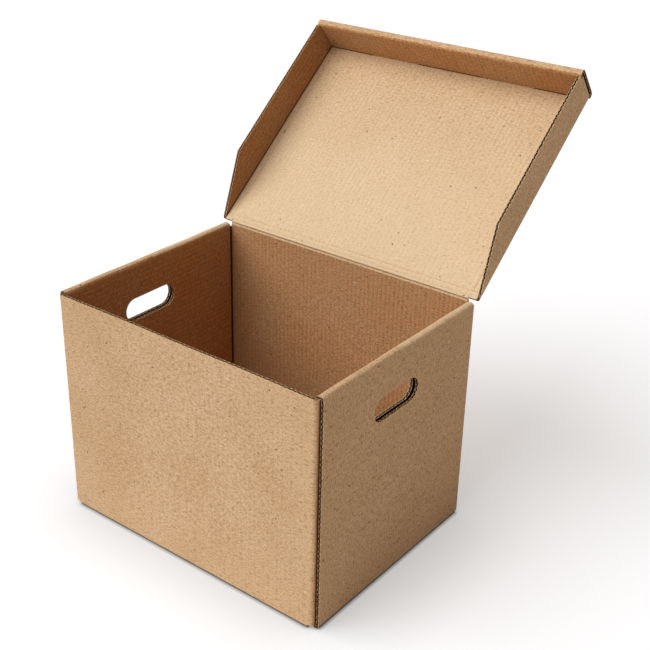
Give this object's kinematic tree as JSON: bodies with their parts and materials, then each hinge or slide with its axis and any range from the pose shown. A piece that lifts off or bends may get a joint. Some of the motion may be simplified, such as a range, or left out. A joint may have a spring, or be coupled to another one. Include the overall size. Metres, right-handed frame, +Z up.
{
  "type": "archive box",
  "caption": "Open-topped corrugated storage box with rolled-over ends, hand holes and a hinged lid with side flaps and a rolled front.",
  "frame": {"origin": "middle of the tray's underside, on the surface that the box stands on", "axes": "+X along the front wall to the right-hand end, +Y from the front wall to the hinge, +Z up"},
  "size_m": [0.4092, 0.5421, 0.542],
  "materials": {
    "kraft_board": "matte"
  },
  "bodies": {
    "tray": {"tray": "kraft_board"},
    "lid": {"lid": "kraft_board"}
  },
  "joints": [
    {"name": "lid_crease", "type": "hinge", "parent": "tray", "child": "lid", "pos_m": [0, 0.1502, 0.3041], "axis": [-1, 0, 0], "range_deg": [-140, 80]}
  ]
}
